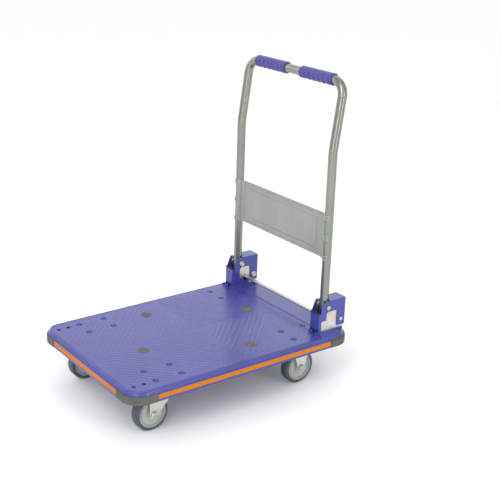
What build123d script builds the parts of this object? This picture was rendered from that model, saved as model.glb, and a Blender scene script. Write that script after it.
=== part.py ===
from build123d import *
import os
from math import cos, hypot, radians, sin, tan

# Folding platform cart: a resin deck on four casters, with a bent-tube handle that folds
# forward over the deck. Millimetres. +X points to the pusher's left, +Y towards the pusher,
# +Z up. The origin is on the floor under the middle of the deck.

os.makedirs("parts", exist_ok=True)

# ---- wheels and casters ---------------------------------------------------------------
wheel_dia = 100.0
wheel_width = 30.0
tyre_wall = 10.0            # rubber, from the tread down to the wheel centre
bearing_radius = 11.0       # outside of the roller bearing
axle_radius = 5.0
run_play = 0.05             # radial play of a shaft that turns in its bore
side_play = 0.3             # gap between a turning face and the face beside it
tyre_side_gap = 3.0         # tyre to fork leg
fork_wall = 3.0
crown_wall = 4.0
tyre_top_gap = 11.0         # tyre to the underside of the fork crown
race_height = 9.0           # fork crown to the top plate, with the ball ring between
plate_wall = 4.0
plate_width = 85.0          # caster plate along X
plate_length = 105.0        # caster plate along Y
bolt_span_x = 60.0
bolt_span_y = 80.0
swivel_trail = 40.0         # swivel axis to the axle
caster_inset_x = 76.5       # deck side to the middle of the caster plate
caster_inset_y = 139.0      # deck end to the middle of the caster plate
kingpin_radius = 6.0
ball_radius = 3.0
ball_circle = 20.0
ball_count = 16

# ---- deck -----------------------------------------------------------------------------
deck_length = 740.0
deck_width = 510.0
deck_corner = 52.0
side_height = 34.0          # lower edge of the side up to the loading surface
mount_depth = 26.0          # caster mounting face up to the loading surface
deck_skin = 4.0
skirt_wall = 6.0
ledge_step = 2.5            # side steps in above the bumpers
bevel_run = 4.5             # and then leans in to the loading surface
rib_wall = 3.0
rib_pitch = 62.0
strip_height = 12.5         # coloured insert in the deck side
strip_depth = 3.0
strip_lip = 7.0             # deck side left below the insert
bumper_reach = 78.0         # corner bumper along each side
bumper_height = 23.5
bumper_seat = 3.0           # depth of its recess in the deck
bumper_proud = 2.0
pad_radius = 16.5           # anti-slip pads
pad_thick = 3.0
pad_proud = 0.8
rim_groove = (3.0, 2.2, 0.8)    # groove round the loading surface: from the edge, width, depth
shelf_rise = 2.0            # raised shelf across the back of the deck, between the stands
shelf_front = 288.0
shelf_slope = 5.0
pad_near = (164.5, 71.0)
pad_far = (37.5, 204.5)
drain_radius = 6.0
drain_inset_x = 47.0
drain_inset_y = (33.0, 63.0)

# ---- bolts ----------------------------------------------------------------------------
bolt_radius = 4.0           # M8
bolt_play = 0.5
bolt_head_radius = 8.0
bolt_head_height = 2.7
bolt_recess_play = 0.8
nut_flats = 13.0
nut_height = 6.5
axle_nut_flats = 17.0
axle_nut_height = 7.0

# ---- handle ---------------------------------------------------------------------------
tube_dia = 25.4
tube_wall = 1.6
leg_inset = 46.0            # deck side to the middle of a handle leg
handle_inset = 73.5         # deck end to the fold axis
pivot_rise = 80.0           # loading surface up to the fold axis
lock_foot = 11.0            # open end of a leg down to the rim of its lock plate
folded_margin = 23.5        # deck front to the bar's centre line, handle folded
kink_rise = 454.0           # fold axis up to the bend where the handle rakes back
rake_angle = 8.0
kink_radius = 150.0
bar_corner = 41.0
panel_rise = 143.0          # fold axis up to the tie panel
panel_height = 132.0
panel_wall = 1.5
panel_emboss = 4.0
panel_joggle = 4.0          # the sheet steps forward here before it wraps round a leg
joggle_from_leg = 28.0      # leg's middle to the start of that step
joggle_run = 4.0
wrap_full = 62.0            # degrees round the leg over the sheet's whole height
wrap_tab = 120.0            # and round the leg at each of the three tabs
hem_radius = 3.5            # rolled upper and lower edges
hem_wall = 1.2
tab_height = 14.0
rivet_radius = 2.0
rivet_head = 3.4
rivet_play = 0.05
grip_gap = 68.0             # bare bar between the grips
grip_length = 134.0
grip_radius = 17.0
grip_ring = 2.0             # depth of the valleys between the grip's rings
grip_rings = 6

# ---- stands, covers and latch -----------------------------------------------------------
pin_radius = 5.0
washer_wall = 2.6
washer_play = 0.2
stand_wall = 3.0
stand_front = 24.5          # fold axis forward to the stand's front edge
stand_neck = 10.5           # and to its front edge beside the fold axis
nose_gap = 5.8              # stand's front edge to the inside of the cover's front wall
stand_rear = 61.5           # fold axis back to the stand's rear edge
stand_top = 18.0            # fold axis up to the stand's top edge
base_front = 12.5           # fold axis forward to the front of the stand's base
seat_height = 9.0           # raised seat on the deck under each stand
seat_margin = 0.5           # seat in front of the cover
seat_side = 0.6             # seat beside the cover's inner cheek
seat_slope = 0.4
seat_shoulder = 16.0        # seat's outer slope, down to the edge of the loading surface
cover_wall = 2.7
cover_play = 0.3
rest_play = 0.3             # folded leg to its rubber rest
rest_thick = 3.5
rear_gap = 9.0              # seat up to the lower edge of the cover's rear leg
nose_round = 8.0            # upright front corners of the cover
cheek_back = 7.0            # cheeks start this far behind the front wall, above the rest
cheek_round = 14.0
cheek_step = 4.0            # cheeks' top edge below the roof
arch_top = 12.0             # fold axis down to the top of the cheek opening
arch_front = 6.5            # fold axis forward to the front of the cheek opening
arch_rear = 35.5            # fold axis back to the rear of the cheek opening
arch_round = 10.0
band_height = 23.0          # band left low on the inner cheek, above the seat
band_rear = 30.5            # fold axis back to the end of that band
side_cut_height = 33.0      # outer cheek cut away up to this height, above the seat
slot_play = 1.6             # round the release bar, in the slots it moves through
foot_slot = (34.0, 7.0)     # width and height of the slot at the foot of the front wall
lean_back = 11.0            # cheek on the -X side of each cover leans back above the rest
bar_radius = 4.5            # release bar
bar_back = 16.5             # fold axis back to the release bar
bar_above_seat = 25.0
latch_back = 48.5
latch_above_seat = 27.5
latch_pin_radius = 4.0
latch_travel = 15.0         # degrees that the release bar is pressed down
lever_thick = 6.0
lever_hub = 8.0
lock_over_bar = 10.0        # release bar up to the rim of the lock plate
lock_play = 0.6             # rim to the lever's tooth
tooth_width = 7.0
tooth_back = 8.0
spring_wire = 1.2
spring_radius = 10.0
spring_turns = 4

# ---- places that follow from the sizes above --------------------------------------------
wheel_radius = wheel_dia / 2
fork_half = wheel_width / 2 + tyre_side_gap
fork_outer = fork_half + fork_wall
crown_under = wheel_dia + tyre_top_gap
crown_top = crown_under + crown_wall
plate_under = crown_top + race_height
mount_face = plate_under + plate_wall
deck_top = mount_face + mount_depth
side_bottom = deck_top - side_height
ledge = side_bottom + bumper_height
top_inset = ledge_step + bevel_run
top_length = deck_length - 2 * top_inset
top_width = deck_width - 2 * top_inset
top_corner = deck_corner - top_inset
caster_x = deck_width / 2 - caster_inset_x
caster_y = deck_length / 2 - caster_inset_y

tube_radius = tube_dia / 2
leg_x = deck_width / 2 - leg_inset
pivot_y = deck_length / 2 - handle_inset
pivot_z = deck_top + pivot_rise
bar_rise = deck_length - handle_inset - folded_margin
bar_y = pivot_y + (bar_rise - kink_rise) * tan(radians(rake_angle))
bar_z = pivot_z + bar_rise

seat_top = deck_top + seat_height
stand_half_in = tube_radius + washer_wall + washer_play
stand_half = stand_half_in + stand_wall
cover_half_in = stand_half + cover_play
cover_half = cover_half_in + cover_wall
cover_front_in = pivot_y - stand_front - nose_gap
cover_front = cover_front_in - cover_wall
cover_rear_in = pivot_y + stand_rear + cover_play
cover_rear = cover_rear_in + cover_wall
stand_top_z = pivot_z + stand_top
cover_top_in = stand_top_z + cover_play
cover_top = cover_top_in + cover_wall
rest_top = pivot_z - tube_radius - rest_play
front_wall_top = rest_top - rest_thick
release_y = pivot_y + bar_back
release_z = seat_top + bar_above_seat
latch_y = pivot_y + latch_back
latch_z = seat_top + latch_above_seat
lock_radius = pivot_z - release_z - lock_over_bar
leg_tail = lock_radius - lock_foot
base_bolt_y = (pivot_y - base_front + 8.0, pivot_y + stand_rear - 8.0)
sides = {"left": 1, "right": -1}


# ---- deck -------------------------------------------------------------------------------
# raised seats for the stands and the low shelf between them
with BuildPart() as stand_seats:
    seat_inner = leg_x - cover_half - seat_side
    seat_outer = top_width / 2 - 1
    seat_front = cover_front - seat_margin
    seat_rear = cover_rear + 1
    for side in sides.values():
        with BuildSketch(Plane.XZ.offset(-seat_rear)):
            Polygon(
                (side * seat_inner, deck_top - 1.5),
                (side * seat_inner, deck_top),
                (side * (seat_inner + seat_slope), seat_top),
                (side * (seat_outer - seat_shoulder), seat_top),
                (side * (seat_outer - seat_shoulder * 0.6), seat_top - 1.5),
                (side * seat_outer, deck_top),
                (side * seat_outer, deck_top - 1.5),
                align=None,
            )
        extrude(amount=seat_rear - seat_front)
    with BuildSketch(Plane.YZ.offset(-seat_inner - 1)):
        Polygon(
            (shelf_front, deck_top - 1.5),
            (shelf_front, deck_top),
            (shelf_front + shelf_slope, deck_top + shelf_rise),
            (seat_rear - shelf_slope, deck_top + shelf_rise),
            (seat_rear - 1, deck_top),
            (seat_rear - 1, deck_top - 1.5),
            align=None,
        )
    extrude(amount=2 * seat_inner + 2)
    with BuildSketch(Plane.XY.offset(deck_top - 2)):
        RectangleRounded(top_width - 1, top_length - 1, top_corner - 0.5)
    extrude(amount=seat_height + 4, mode=Mode.INTERSECT)

with BuildPart() as deck:
    with BuildSketch(Plane.XY.offset(side_bottom)):
        RectangleRounded(deck_width, deck_length, deck_corner)
    extrude(amount=bumper_height)
    with BuildSketch(Plane.XY.offset(ledge)) as lower_step:
        RectangleRounded(deck_width - 2 * ledge_step, deck_length - 2 * ledge_step, deck_corner - ledge_step)
    with BuildSketch(Plane.XY.offset(deck_top)) as loading_surface:
        RectangleRounded(top_width, top_length, top_corner)
    loft()
    fillet(deck.faces().sort_by(Axis.Z)[-1].edges(), radius=1.5)
    # shallow groove just inside the edge of the loading surface
    groove_from, groove_width, groove_depth = rim_groove
    with BuildSketch(Plane.XY.offset(deck_top)):
        RectangleRounded(
            top_width - 2 * groove_from, top_length - 2 * groove_from, top_corner - groove_from
        )
        groove_inside = groove_from + groove_width
        RectangleRounded(
            top_width - 2 * groove_inside,
            top_length - 2 * groove_inside,
            top_corner - groove_inside,
            mode=Mode.SUBTRACT,
        )
    extrude(amount=-groove_depth, mode=Mode.SUBTRACT)
    # hollow underside, narrower behind the bevel
    with BuildSketch(Plane.XY.offset(side_bottom)):
        RectangleRounded(deck_width - 2 * skirt_wall, deck_length - 2 * skirt_wall, deck_corner - skirt_wall)
    extrude(amount=bumper_height - deck_skin, mode=Mode.SUBTRACT)
    with BuildSketch(Plane.XY.offset(side_bottom)):
        inner_inset = top_inset + deck_skin
        RectangleRounded(deck_width - 2 * inner_inset, deck_length - 2 * inner_inset, deck_corner - inner_inset)
    extrude(amount=side_height - deck_skin, mode=Mode.SUBTRACT)
    # ribs and the solid seats that the casters and stands bolt through
    rib_rows = int((deck_length / 2 - skirt_wall) // rib_pitch)
    rib_lines = int((deck_width / 2 - skirt_wall) // rib_pitch)
    rib_depth = mount_depth - deck_skin / 2
    with BuildSketch(Plane.XY.offset(mount_face)):
        for row in range(-rib_rows, rib_rows + 1):
            with Locations((0, row * rib_pitch)):
                Rectangle(deck_width - 2 * skirt_wall + 2, rib_wall)
        for line in range(-rib_lines, rib_lines + 1):
            with Locations((line * rib_pitch, 0)):
                Rectangle(rib_wall, deck_length - 2 * skirt_wall + 2)
        with GridLocations(2 * caster_x, 2 * caster_y, 2, 2):
            Rectangle(plate_width + 8, plate_length + 8)
        for side in sides.values():
            with Locations((side * leg_x, pivot_y + (stand_rear - stand_front) / 2)):
                Rectangle(2 * stand_half + 6, stand_front + stand_rear)
        RectangleRounded(deck_width - skirt_wall, deck_length - skirt_wall, deck_corner - 3, mode=Mode.INTERSECT)
    extrude(amount=rib_depth)
    add(stand_seats.part)
    # groove for the coloured inserts, open along the four sides
    groove_z = side_bottom + strip_lip
    with BuildSketch(Plane.XY.offset(groove_z)):
        RectangleRounded(deck_width + 2, deck_length + 2, deck_corner + 1)
        RectangleRounded(
            deck_width - 2 * strip_depth, deck_length - 2 * strip_depth, deck_corner - strip_depth, mode=Mode.SUBTRACT
        )
    extrude(amount=strip_height, mode=Mode.SUBTRACT)
    # recesses for the corner bumpers
    with BuildSketch(Plane.XY.offset(side_bottom)):
        with GridLocations(deck_width - bumper_reach, deck_length - bumper_reach, 2, 2):
            Rectangle(bumper_reach + 0.2, bumper_reach + 0.2)
        RectangleRounded(
            deck_width - 2 * bumper_seat, deck_length - 2 * bumper_seat, deck_corner - bumper_seat, mode=Mode.SUBTRACT
        )
    extrude(amount=bumper_height, mode=Mode.SUBTRACT)
    # pads, caster bolts, stand bolts and drain holes
    for mirror_side in (1, -1):
        for pad_x, pad_y in ((pad_near[0], pad_near[1]), (-pad_far[0], pad_far[1])):
            with Locations((mirror_side * pad_x, mirror_side * pad_y, deck_top)):
                Cylinder(
                    pad_radius + 0.3,
                    2 * (pad_thick - pad_proud),
                    mode=Mode.SUBTRACT,
                )
    bolt_recess = bolt_head_radius + bolt_recess_play
    recess_floor = deck_top - bolt_head_height - 0.3
    with Locations((0, 0, recess_floor)):
        with GridLocations(2 * caster_x, 2 * caster_y, 2, 2):
            with GridLocations(bolt_span_x, bolt_span_y, 2, 2):
                Cylinder(
                    bolt_recess, 3 * seat_height, align=(Align.CENTER, Align.CENTER, Align.MIN), mode=Mode.SUBTRACT
                )
                Cylinder(bolt_radius + bolt_play, 4 * mount_depth, mode=Mode.SUBTRACT)
    for side in sides.values():
        for bolt_y in base_bolt_y:
            with Locations((side * leg_x, bolt_y, deck_top)):
                Cylinder(bolt_radius + bolt_play, 4 * mount_depth, mode=Mode.SUBTRACT)
        for drain_y in drain_inset_y:
            with Locations((side * (deck_width / 2 - drain_inset_x), drain_y - deck_length / 2, deck_top)):
                Cylinder(drain_radius, 4 * mount_depth, mode=Mode.SUBTRACT)
deck.part.label = "deck"
export_step(deck.part, "parts/deck.step")


# ---- trim set into the deck --------------------------------------------------------------
def strip_pair(name, along_x):
    """Two coloured inserts on opposite sides of the deck, between the bumpers."""
    reach = (deck_width if along_x else deck_length) - 2 * bumper_reach - 1
    offset_out = (deck_length if along_x else deck_width) / 2 - strip_depth / 2
    with BuildPart() as strips:
        for side in (1, -1):
            where = (0, side * offset_out) if along_x else (side * offset_out, 0)
            with BuildSketch(Plane.XY.offset(groove_z + 0.1)):
                with Locations(where):
                    if along_x:
                        Rectangle(reach, strip_depth)
                    else:
                        Rectangle(strip_depth, reach)
            extrude(amount=strip_height - 0.2)
    strips.part.label = name
    export_step(strips.part, f"parts/{name}.step")


strip_pair("side_strips", False)
strip_pair("end_strips", True)

for end_name, end in (("front", -1), ("rear", 1)):
    for side_name, side in sides.items():
        with BuildPart() as bumper:
            with BuildSketch(Plane.XY.offset(side_bottom)):
                RectangleRounded(
                    deck_width + 2 * bumper_proud, deck_length + 2 * bumper_proud, deck_corner + bumper_proud
                )
                RectangleRounded(
                    deck_width - 2 * bumper_seat,
                    deck_length - 2 * bumper_seat,
                    deck_corner - bumper_seat,
                    mode=Mode.SUBTRACT,
                )
                corner_at = (
                    side * (deck_width / 2 - bumper_reach / 2 + bumper_proud / 2),
                    end * (deck_length / 2 - bumper_reach / 2 + bumper_proud / 2),
                )
                with Locations(corner_at):
                    Rectangle(bumper_reach + bumper_proud, bumper_reach + bumper_proud, mode=Mode.INTERSECT)
            extrude(amount=bumper_height)
            outline = bumper.faces().filter_by(Plane.XY)
            rims = outline.edges().filter_by(
                lambda rim: abs(rim.center().X) > deck_width / 2 or abs(rim.center().Y) > deck_length / 2
            )
            fillet(rims, radius=bumper_proud * 0.7)
        bumper.part.label = f"{end_name}_{side_name}_bumper"
        export_step(bumper.part, f"parts/{end_name}_{side_name}_bumper.step")

with BuildPart() as deck_pads:
    for mirror_side in (1, -1):
        for pad_x, pad_y in ((pad_near[0], pad_near[1]), (-pad_far[0], pad_far[1])):
            pad_floor = deck_top - pad_thick + pad_proud
            with BuildSketch(Plane((mirror_side * pad_x, mirror_side * pad_y, pad_floor))):
                Circle(pad_radius)
            extrude(amount=pad_thick)
    fillet(deck_pads.edges().group_by(Axis.Z)[-1], radius=0.6)
deck_pads.part.label = "deck_pads"
export_step(deck_pads.part, "parts/deck_pads.step")


# ---- stands: pressed steel channels that carry the handle ---------------------------------
with BuildPart() as stand_left:
    plate_outline = [
        (pivot_y - stand_front, seat_top),
        (pivot_y - stand_front, pivot_z - 32),
        (pivot_y - stand_neck, pivot_z - 20),
        (pivot_y - stand_neck, stand_top_z - 6),
        (pivot_y - stand_neck + 6, stand_top_z),
        (pivot_y + stand_rear, stand_top_z),
        (pivot_y + stand_rear, seat_top),
    ]
    for plate_x in (leg_x - stand_half, leg_x + stand_half_in):
        with BuildSketch(Plane.YZ.offset(plate_x)):
            Polygon(*plate_outline, align=None)
        extrude(amount=stand_wall)
    # base, bolted to the deck
    with BuildSketch(Plane.XY.offset(seat_top)):
        with Locations((leg_x, pivot_y + (stand_rear - base_front) / 2)):
            Rectangle(2 * stand_half, stand_rear + base_front)
        for bolt_y in base_bolt_y:
            with Locations((leg_x, bolt_y)):
                Circle(bolt_radius + bolt_play, mode=Mode.SUBTRACT)
    extrude(amount=stand_wall)
    # bridge between the plates: the upright handle stops against its front edge
    bridge_front = pivot_y + tube_radius + side_play
    with BuildSketch(Plane.XY.offset(stand_top_z - stand_wall)):
        with Locations((leg_x, (bridge_front + pivot_y + stand_rear) / 2)):
            Rectangle(2 * stand_half, pivot_y + stand_rear - bridge_front)
    extrude(amount=stand_wall)
    # pin holes through both plates
    with Locations(Location((leg_x, pivot_y, pivot_z), (0, 90, 0))):
        Cylinder(pin_radius, 3 * stand_half, mode=Mode.SUBTRACT)
    with Locations(Location((leg_x, latch_y, latch_z), (0, 90, 0))):
        Cylinder(latch_pin_radius, 3 * stand_half, mode=Mode.SUBTRACT)
    # slot in the inner plate for the release bar's travel
    lever_arm = hypot(latch_y - release_y, latch_z - release_z)
    press_drop = lever_arm * sin(radians(latch_travel)) + 2
    with BuildSketch(Plane.YZ.offset(leg_x - stand_half)):
        with Locations((release_y + slot_play / 2, release_z - press_drop / 2)):
            SlotCenterToCenter(press_drop, 2 * (bar_radius + slot_play), rotation=90)
    extrude(amount=stand_wall, mode=Mode.SUBTRACT)
stand_left.part.label = "stand_left"
export_step(stand_left.part, "parts/stand_left.step")

with BuildPart() as stand_right:
    mirror(stand_left.part, about=Plane.YZ)
stand_right.part.label = "stand_right"
export_step(stand_right.part, "parts/stand_right.step")


# ---- covers: resin shells over the stands ---------------------------------------------------
with BuildPart() as cover_left:
    cheek_front = cover_front + cheek_back
    cheek_top = cover_top - cheek_step
    cheek_outline = [
        (cover_front, seat_top),
        (cover_front, rest_top),
        (cheek_front, rest_top),
        (cheek_front, cheek_top),
        (pivot_y + 1, cheek_top),
        (pivot_y + 5, cover_top),
        (cover_rear, cover_top),
        (cover_rear, seat_top),
    ]
    with BuildSketch(Plane.YZ.offset(leg_x - cover_half)) as cheek_side:
        Polygon(*cheek_outline, align=None)
        fillet(cheek_side.vertices().sort_by_distance((leg_x, cheek_front, cheek_top))[0], radius=cheek_round)
    extrude(amount=2 * cover_half)
    nose_corners = cover_left.edges().filter_by(Axis.Z).group_by(Axis.Y)[0]
    fillet(nose_corners, radius=nose_round - 1)
    rear_corners = cover_left.edges().filter_by(Axis.Z).group_by(Axis.Y)[-1]
    fillet(rear_corners, radius=2.5)
    fillet(cover_left.faces().sort_by(Axis.Z)[-1].edges(), radius=1.2)
    # inside
    cavity_middle = (cover_front_in + cover_rear_in) / 2
    with BuildSketch(Plane.XY.offset(seat_top)) as cavity:
        with Locations((leg_x, cavity_middle)):
            Rectangle(2 * cover_half_in, cover_rear_in - cover_front_in)
        fillet(cavity.vertices().group_by(Axis.Y)[0], radius=nose_round - 1 - cover_wall)
    extrude(amount=cover_top_in - seat_top, mode=Mode.SUBTRACT)
    # open top and front above the front wall, back to just behind the tube's middle
    roof_front = pivot_y + 4
    with BuildSketch(Plane.XY.offset(front_wall_top)):
        with Locations((leg_x, (cover_front - 1 + roof_front) / 2)):
            Rectangle(2 * cover_half_in, roof_front - cover_front + 1)
        with Locations((leg_x, pivot_y)):
            Circle(tube_radius + 1.5)
    extrude(amount=cover_top - front_wall_top + 1, mode=Mode.SUBTRACT)
    # slot at the foot of the front wall
    with BuildSketch(Plane.XZ.offset(-cover_front + 1)):
        with Locations((leg_x, seat_top + foot_slot[1] / 2)):
            Rectangle(*foot_slot)
    extrude(amount=-cover_wall - 2, mode=Mode.SUBTRACT)
    # arched openings in both cheeks, and the gap under the rear leg
    arch_low = seat_top + band_height
    arch_middle = pivot_y + (arch_rear - arch_front) / 2
    arch_high = pivot_z - arch_top
    leg_low = seat_top + rear_gap
    with BuildSketch(Plane.YZ.offset(leg_x - cover_half - 1)) as arch:
        with Locations((arch_middle, (arch_low + arch_high) / 2)):
            Rectangle(arch_front + arch_rear, arch_high - arch_low)
        fillet(arch.vertices().group_by(Axis.Y)[-1], radius=arch_round)
        with Locations(((pivot_y + band_rear + pivot_y + arch_rear) / 2, (seat_top + arch_low + 1) / 2)):
            Rectangle(arch_rear - band_rear, arch_low + 1 - seat_top)
        with Locations(((pivot_y + band_rear + cover_rear + 1) / 2, (seat_top + leg_low) / 2)):
            Rectangle(cover_rear + 1 - pivot_y - band_rear, rear_gap)
    extrude(amount=2 * cover_half + 2, mode=Mode.SUBTRACT)
    # slot in the band of the inner cheek for the release bar's travel
    with BuildSketch(Plane.YZ.offset(leg_x - cover_half - 1)) as bar_slot:
        slot_front = release_y - bar_radius - slot_play
        slot_rear = release_y + bar_radius + 2 * slot_play
        slot_low = release_z - press_drop - bar_radius - slot_play
        with Locations(((slot_front + slot_rear) / 2, (slot_low + arch_low + 1) / 2)):
            Rectangle(slot_rear - slot_front, arch_low + 1 - slot_low)
        fillet(bar_slot.vertices().group_by(Axis.Y)[0], radius=3)
    extrude(amount=cover_wall + 2, mode=Mode.SUBTRACT)
    # the outer cheek is cut away lower down as well, so the steel stand shows
    side_cut_top = seat_top + side_cut_height
    with BuildSketch(Plane.YZ.offset(leg_x + cover_half_in - 0.1)) as side_cut:
        cut_front = cover_front + nose_round + 0.5
        arch_edge = pivot_y - arch_front
        arch_back = pivot_y + arch_rear
        Polygon(
            (cut_front, seat_top - 1),
            (cut_front, side_cut_top),
            (arch_edge, side_cut_top),
            (arch_edge, arch_low + 16),
            (arch_back, arch_low + 16),
            (arch_back, seat_top - 1),
            align=None,
        )
        inside_corner = side_cut.vertices().sort_by_distance((leg_x, arch_edge, side_cut_top))[0]
        fillet(inside_corner, radius=3)
        fillet(side_cut.vertices().sort_by_distance((leg_x, cut_front, side_cut_top))[0], radius=4)
    extrude(amount=cover_wall + 1, mode=Mode.SUBTRACT)
    # pin holes
    with Locations(Location((leg_x, pivot_y, pivot_z), (0, 90, 0))):
        Cylinder(pin_radius + cover_play, 3 * cover_half, mode=Mode.SUBTRACT)
    with Locations(Location((leg_x, latch_y, latch_z), (0, 90, 0))):
        Cylinder(latch_pin_radius + cover_play, 3 * cover_half, mode=Mode.SUBTRACT)

# on both covers the cheek on the -X side leans back above the rest
lean_outline = [
    (cover_front - 1, rest_top),
    (cheek_front, rest_top),
    (cheek_front + lean_back, cheek_top - 4),
    (cheek_front + lean_back + 5, cover_top + 1),
    (cover_front - 1, cover_top + 1),
]
with BuildPart() as cover_right:
    mirror(cover_left.part, about=Plane.YZ)
    with BuildSketch(Plane.YZ.offset(-leg_x - cover_half - 1)):
        Polygon(*lean_outline, align=None)
    extrude(amount=cover_half - tube_radius, mode=Mode.SUBTRACT)
with BuildPart() as cover_left_leaning:
    add(cover_left.part)
    with BuildSketch(Plane.YZ.offset(leg_x - cover_half - 1)):
        Polygon(*lean_outline, align=None)
    extrude(amount=cover_half - tube_radius, mode=Mode.SUBTRACT)
cover_left_leaning.part.label = "cover_left"
export_step(cover_left_leaning.part, "parts/cover_left.step")
cover_right.part.label = "cover_right"
export_step(cover_right.part, "parts/cover_right.step")

# rubber rests on the front walls, each with a strip down inside the wall to the foot slot
with BuildPart() as handle_rests:
    for side in sides.values():
        rest_half = stand_half_in - 0.3
        with BuildSketch(Plane.XY.offset(front_wall_top)):
            with Locations((side * leg_x, cover_front + 5)):
                Rectangle(2 * rest_half, 10)
        extrude(amount=rest_thick)
        with BuildSketch(Plane.XY.offset(seat_top)):
            with Locations((side * leg_x, cover_front_in + 1.9)):
                Rectangle(2 * rest_half, 3.4)
        extrude(amount=front_wall_top - seat_top + 1)
    fillet(handle_rests.faces().sort_by(Axis.Z)[-2:].edges(), radius=1)
handle_rests.part.label = "handle_rests"
export_step(handle_rests.part, "parts/handle_rests.step")


# ---- pins, washers and bolts of the stands ---------------------------------------------------
def cross_pins(name, at_y, at_z, radius, head_radius, tail_radius):
    """One pin through each stand, with a domed head on the inner side and a riveted tail."""
    head_height = 3.6
    tail_height = 2.0
    face = cover_half + 0.1
    with BuildPart() as pins:
        with BuildSketch(Plane((leg_x - face - head_height, at_y, at_z), x_dir=(1, 0, 0), z_dir=(0, -1, 0))) as half:
            with BuildLine():
                Polyline(
                    (head_height, radius),
                    (head_height + 2 * face, radius),
                    (head_height + 2 * face, tail_radius),
                    (head_height + 2 * face + tail_height * 0.6, tail_radius),
                    (head_height + 2 * face + tail_height, tail_radius * 0.7),
                    (head_height + 2 * face + tail_height, 0),
                    (0, 0),
                )
                Polyline(
                    (0, 0),
                    (0, head_radius * 0.22),
                    (head_height * 0.36, head_radius * 0.32),
                    (head_height * 0.36, head_radius * 0.56),
                    (0, head_radius * 0.74),
                )
                ThreePointArc(
                    (0, head_radius * 0.74),
                    (head_height * 0.2, head_radius * 0.93),
                    (head_height * 0.62, head_radius),
                )
                Polyline((head_height * 0.62, head_radius), (head_height, head_radius), (head_height, radius))
            make_face()
        revolve(axis=Axis((leg_x, at_y, at_z), (1, 0, 0)))
        mirror(about=Plane.YZ)
    pins.part.label = name
    export_step(pins.part, f"parts/{name}.step")


cross_pins("pivot_pins", pivot_y, pivot_z, pin_radius, 9.5, 6.5)
cross_pins("latch_pins", latch_y, latch_z, latch_pin_radius, 9.5, 6.0)

with BuildPart() as pivot_washers:
    for side in sides.values():
        for gap_start in (-stand_half_in + 0.1, tube_radius + 0.1):
            with BuildSketch(Plane((side * leg_x + gap_start, pivot_y, pivot_z), x_dir=(0, 1, 0), z_dir=(1, 0, 0))):
                Circle(pin_radius + 5)
                Circle(pin_radius + 0.1, mode=Mode.SUBTRACT)
            extrude(amount=washer_wall)
pivot_washers.part.label = "pivot_washers"
export_step(pivot_washers.part, "parts/pivot_washers.step")


def hex_bolts(name, places, seat_z, length, head_height, flats):
    """Upright hexagon bolts, heads up, one at each place."""
    with BuildPart() as bolts:
        for place_x, place_y in places:
            with BuildSketch(Plane((place_x, place_y, seat_z))):
                RegularPolygon(flats / 2, 6, major_radius=False)
            extrude(amount=head_height)
            with BuildSketch(Plane((place_x, place_y, seat_z))):
                Circle(bolt_radius)
            extrude(amount=-length)
    bolts.part.label = name
    export_step(bolts.part, f"parts/{name}.step")


def hex_nuts(name, places, top_z):
    """Hexagon nuts below a face, one at each place, each with a washer face."""
    with BuildPart() as nuts:
        for place_x, place_y in places:
            with BuildSketch(Plane((place_x, place_y, top_z))):
                Circle(nut_flats * 0.62)
                Circle(bolt_radius + 0.02, mode=Mode.SUBTRACT)
            extrude(amount=-1.2)
            with BuildSketch(Plane((place_x, place_y, top_z - 1.2))):
                RegularPolygon(nut_flats / 2, 6, major_radius=False)
                Circle(bolt_radius + 0.02, mode=Mode.SUBTRACT)
            extrude(amount=-nut_height + 1.2)
    nuts.part.label = name
    export_step(nuts.part, f"parts/{name}.step")


stand_places = [(side * leg_x, bolt_y) for side in sides.values() for bolt_y in base_bolt_y]
stand_seat = seat_top + stand_wall
hex_bolts("stand_bolts", stand_places, stand_seat, stand_seat - mount_face + nut_height + 2, 5.0, nut_flats)
hex_nuts("stand_nuts", stand_places, mount_face)

caster_places = [
    (side * caster_x + corner_x * bolt_span_x / 2, end * caster_y + corner_y * bolt_span_y / 2)
    for side in (1, -1)
    for end in (1, -1)
    for corner_x in (1, -1)
    for corner_y in (1, -1)
]
with BuildPart() as caster_bolts:
    for place_x, place_y in caster_places:
        with BuildSketch(Plane((place_x, place_y, recess_floor))):
            Circle(bolt_head_radius)
        extrude(amount=bolt_head_height, taper=12)
        with BuildSketch(Plane((place_x, place_y, recess_floor))):
            Circle(bolt_radius)
        extrude(amount=plate_under - nut_height - 0.5 - recess_floor)
caster_bolts.part.label = "caster_bolts"
export_step(caster_bolts.part, "parts/caster_bolts.step")
hex_nuts("caster_nuts", caster_places, plate_under)


# ---- casters ---------------------------------------------------------------------------------
def axle_plane(at_x, at_y):
    """Plane through a wheel's middle: first axis along the axle, second axis up."""
    return Plane((at_x, at_y, wheel_radius), x_dir=(1, 0, 0), z_dir=(0, -1, 0))


# bolted plate, drawn about the swivel axis like all the caster pieces
with BuildPart() as bolted_plate:
    with BuildSketch(Plane.XY.offset(plate_under)):
        RectangleRounded(plate_width, plate_length, 8)
        with GridLocations(bolt_span_x, bolt_span_y, 2, 2):
            Circle(bolt_radius + bolt_play, mode=Mode.SUBTRACT)
    extrude(amount=plate_wall)


def move_to(piece, at_x, at_y):
    """A copy of a piece drawn about the origin, moved to its caster."""
    return Pos(at_x, at_y, 0) * piece


# swivel casters' plates, with the upper ball race under them
with BuildPart() as plate_draft:
    add(bolted_plate.part)
    with BuildSketch(Plane.XY.offset(plate_under)):
        Circle(ball_circle + 8)
        Circle(ball_circle - 7, mode=Mode.SUBTRACT)
    extrude(amount=-race_height / 2 + 0.5)
    with Locations((0, 0, plate_under - race_height / 2)):
        Torus(ball_circle, ball_radius + side_play, mode=Mode.SUBTRACT)
    Hole(kingpin_radius)
    with Locations((0, 0, mount_face)):
        CounterBoreHole(kingpin_radius, kingpin_radius + 4, plate_wall / 2)

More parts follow.
